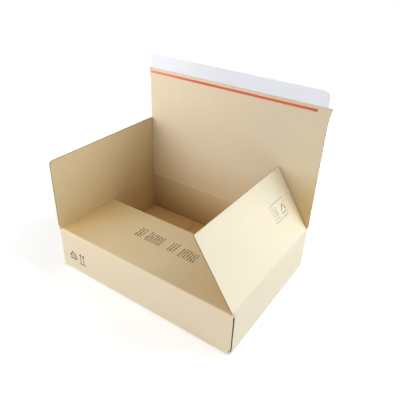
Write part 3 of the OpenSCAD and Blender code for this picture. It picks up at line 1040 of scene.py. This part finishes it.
def ink_words(strips, panel, row, start, end, height, finish):
    """A row of short bars with gaps, at one place along the crease."""
    here = start
    while here < end - shortest_word:
        there = min(end, here + dice.uniform(*word_length) * MM)
        nudge = dice.uniform(-word_nudge, word_nudge) * MM
        ink_bar(strips, panel, (row + nudge, here), (row + nudge, there),
                height * dice.uniform(*word_weight), finish)
        here = there + dice.uniform(*word_gap) * MM


print("inks:", wall_ink.name, flap_ink.name)

# %% [markdown]
# The front wall carries an open triangle of three bars round a smaller one, and
# beside it two upright arrows that stand on a ground line.

# %% Marks on the front wall
strips = Strips()
triangle_centre = Vector((-166.5, 36.0)) * MM
triangle_reach = 13.5
bar_from, bar_to = 0.10, 0.80  # shares of the way to the next corner
inner_share = 0.42
corners = [Vector((math.cos(math.radians(t)), math.sin(math.radians(t)))) * triangle_reach * MM
           for t in (90, 210, 330)]
for corner, following in zip(corners, corners[1:] + corners[:1]):
    ink_bar(strips, front_wall, triangle_centre + corner.lerp(following, bar_from),
            triangle_centre + corner.lerp(following, bar_to), 2.6 * MM, wall_ink)
    ink_bar(strips, front_wall, triangle_centre + corner * inner_share,
            triangle_centre + following * inner_share, 1.0 * MM, wall_ink)

ground = 24.6 * MM
shaft_low, shaft_high = 26.5 * MM, 47.0 * MM
arrow_tip, barb_low, barb_wide = 48.8 * MM, 43.6 * MM, 2.8
for a in (-146.9, -139.0):
    ink_bar(strips, front_wall, (a * MM, shaft_low), (a * MM, shaft_high), 1.6 * MM, wall_ink)
    for lean in (-1, 1):
        ink_bar(strips, front_wall, (a * MM, arrow_tip), ((a + barb_wide * lean) * MM, barb_low),
                1.4 * MM, wall_ink)
ink_bar(strips, front_wall, (-151.0 * MM, ground), (-133.6 * MM, ground), 1.8 * MM, wall_ink)
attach(strips.build("wall_marks"), "carton")

# %% [markdown]
# The front flap has two short paragraphs and two long ones, in rows that run
# across it. A row is a chain of bars, and its right end is left ragged.

# %% Paragraphs on the front flap
strips = Strips()
ragged = 5
paragraphs = (  # first row, rows, start and end of a row, pitch, in millimetres
    (-68.0, 3, 71.5, 104.5, 6.0),
    (-43.5, 7, 71.0, 101.8, 5.5),
    (11.0, 3, 71.5, 101.5, 6.0),
    (37.5, 7, 69.0, 98.0, 5.4),
)
for first_row, rows, start, end, pitch in paragraphs:
    for i in range(rows):
        ink_words(strips, front_flap, (first_row + pitch * i) * MM, start * MM,
                  (end - dice.uniform(0, ragged)) * MM, 2.1 * MM, flap_ink)
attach(strips.build("flap_paragraphs"), "carton")

# %% [markdown]
# The right flap has a thin frame with four fine rows, a chevron and a short bar
# under it.

# %% Framed mark on the right flap
strips = Strips()
mark_y = (57.8 * MM, 106.7 * MM)
mark_u = (57.9 * MM, 92.7 * MM)
for u in mark_u:
    ink_bar(strips, right_flap, (mark_y[0], u), (mark_y[1], u), 0.7 * MM, flap_ink)
for y in mark_y:
    ink_bar(strips, right_flap, (y, mark_u[0]), (y, mark_u[1]), 0.35 * MM, flap_ink)
for i in range(4):
    ink_words(strips, right_flap, (63.0 + 4.2 * i) * MM, 62 * MM, (87 - 3 * (i % 2)) * MM,
              0.8 * MM, flap_ink)
chevron = ((88, 70), (97, 82), (104, 70))
for start, end in zip(chevron, chevron[1:]):
    ink_bar(strips, right_flap, Vector(start) * MM, Vector(end) * MM, 1.5 * MM, flap_ink)
ink_bar(strips, right_flap, (88 * MM, 65 * MM), (103 * MM, 65 * MM), 1.2 * MM, flap_ink)
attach(strips.build("flap_mark"), "right_side_flap")

# %% [markdown]
# The tear tape is a band of red film, stuck to the inside of the lid, that
# rips the board open when it is pulled. The adhesive of the sealing edge waits
# under a strip of bluish release paper. The tape and the adhesive keep their
# built shape. The tape's film is streaky, paler at its left end and darker at
# its right end, and the adhesive is a milky film of fine beads.

# %% Tear tape and adhesive
def tape_finish():
    finish = Finish("tear_tape_film", roughness=0.42, gloss=0.45)
    streaks = finish.noise(60, 4, stretch=(0.6, 1, 12), rough=0.7)
    worn = finish.noise(35, 3)
    pale_end = finish.ramp(finish.axis("X"), -half_w, -60 * MM, 1.0, 0.0)
    film = finish.between(pale_end, "D35533", "EE8C76")
    painted = finish.shade(film, [(streaks, 0.35), (worn, 0.10)])
    dark_end = finish.ramp(finish.axis("X"), 150 * MM, 182 * MM, 0.0, 0.75)
    finish.mix(dark_end, painted, "9C4A33")
    finish.bump(streaks, 0.04 * MM)
    return finish.material


def adhesive_finish():
    finish = Finish("hot_melt_adhesive", roughness=0.35, gloss=0.5)
    beads = finish.noise(300, 3)
    finish.shade("E9E2C6", [(beads, 0.12)])
    finish.bump(beads, 0.08 * MM)
    return finish.material


for name, finish in (("tear_tape", tape_finish()), ("adhesive_strip", adhesive_finish())):
    mesh = frame["nodes"][name].data
    mesh.materials.clear()
    mesh.materials.append(finish)
    print(name, "takes", finish.name)

# %% [markdown]
# Release paper is thin and stiff, and it never lies quite flat: it puckers
# along the score and its free edge waves a little past the board. It is built
# as a fine grid in the outline of the plain strip, with a front and a back,
# and stands for that strip.

# %% Release paper
paper_low, paper_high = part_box("release_liner")
paper_half = paper_high.x
paper_height = paper_high.z - paper_low.z
paper_corner = 12.5 * MM
paper_back = paper_high.y
paper_thick = 0.22 * MM
overhang_from = lid_high.z
paper_columns = 360
paper_rows = 26
pucker_high, pucker_low, pucker_pitch = 0.30 * MM, 7 * MM, 4.3 * MM
pucker_middle, pucker_half = 88 * MM, 60 * MM


def paper_half_width(v):
    """Half the paper's width at a height above its foot."""
    over = v - (paper_height - paper_corner)
    if over <= 0:
        return paper_half
    return paper_half - paper_corner + math.sqrt(max(paper_corner ** 2 - over ** 2, 0.0))


def paper_lift(x, v):
    """How far the paper stands off its bed, towards the inside of the box."""
    puckers = math.exp(-(v / pucker_low) ** 2)
    puckers *= math.exp(-((x - pucker_middle) / pucker_half) ** 4)
    phase = 2 * math.pi * x / pucker_pitch + 3 * math.sin(x * 60)
    ripple = pucker_high * puckers * (0.5 + 0.5 * math.sin(phase))
    slow = 0.08 * MM * (1 + math.sin(x * 47 + 1.3) * math.sin(v * 120))
    past = max(0.0, v - (overhang_from - paper_low.z)) / (paper_high.z - overhang_from)
    wave = 0.5 * MM * past * (1 + 0.6 * math.sin(x * 71) + 0.4 * math.sin(x * 23 + 2))
    return ripple + slow + wave


def release_paper_mesh():
    """Points and faces of the back, the front and the rim."""
    points = []
    for layer in (0, 1):
        for i in range(paper_rows + 1):
            v = paper_height * (i / paper_rows)
            half = paper_half_width(v)
            for j in range(paper_columns + 1):
                x = half * (2 * j / paper_columns - 1)
                y = paper_back - paper_lift(x, v) - layer * paper_thick
                points.append((x, y, paper_low.z + v))
    wide = paper_columns + 1
    layer_size = wide * (paper_rows + 1)
    faces = []
    for i in range(paper_rows):
        for j in range(paper_columns):
            a = i * wide + j
            faces.append((a, a + 1, a + wide + 1, a + wide))
            faces.append(tuple(layer_size + k for k in (a, a + wide, a + wide + 1, a + 1)))
    rim = list(range(wide)) + [i * wide + wide - 1 for i in range(1, paper_rows + 1)]
    rim += [paper_rows * wide + j for j in range(wide - 2, -1, -1)]
    rim += [i * wide for i in range(paper_rows - 1, 0, -1)]
    for a, b in zip(rim, rim[1:] + rim[:1]):
        faces.append((b, a, layer_size + a, layer_size + b))
    return points, faces


def release_paper_finish():
    finish = Finish("release_paper", roughness=0.45, gloss=0.4)
    fibres = finish.noise(240, 4, stretch=(1, 1, 3))
    clouds = finish.noise(20, 2)
    paler_left = finish.ramp(finish.axis("X"), -half_w, 0.0, 1.0, 0.0)
    painted = finish.shade("EAEEF6", [(fibres, 0.05), (clouds, 0.04), (paler_left, 0.12)])
    low, high = overhang_from - 0.6 * MM, overhang_from + 0.6 * MM
    past_board = finish.ramp(finish.axis("Z"), low, high, 0.0, 0.75)
    finish.mix(past_board, painted, "F4F7FC")
    finish.bump(fibres, 0.03 * MM)
    return finish.material


strips = Strips()
strips.points, strips.faces = release_paper_mesh()
strips.finishes = [release_paper_finish()] * len(strips.faces)
paper = strips.build("release_paper_strip", smooth=True)
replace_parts(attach(paper, "lid_sheet"), "release_liner")
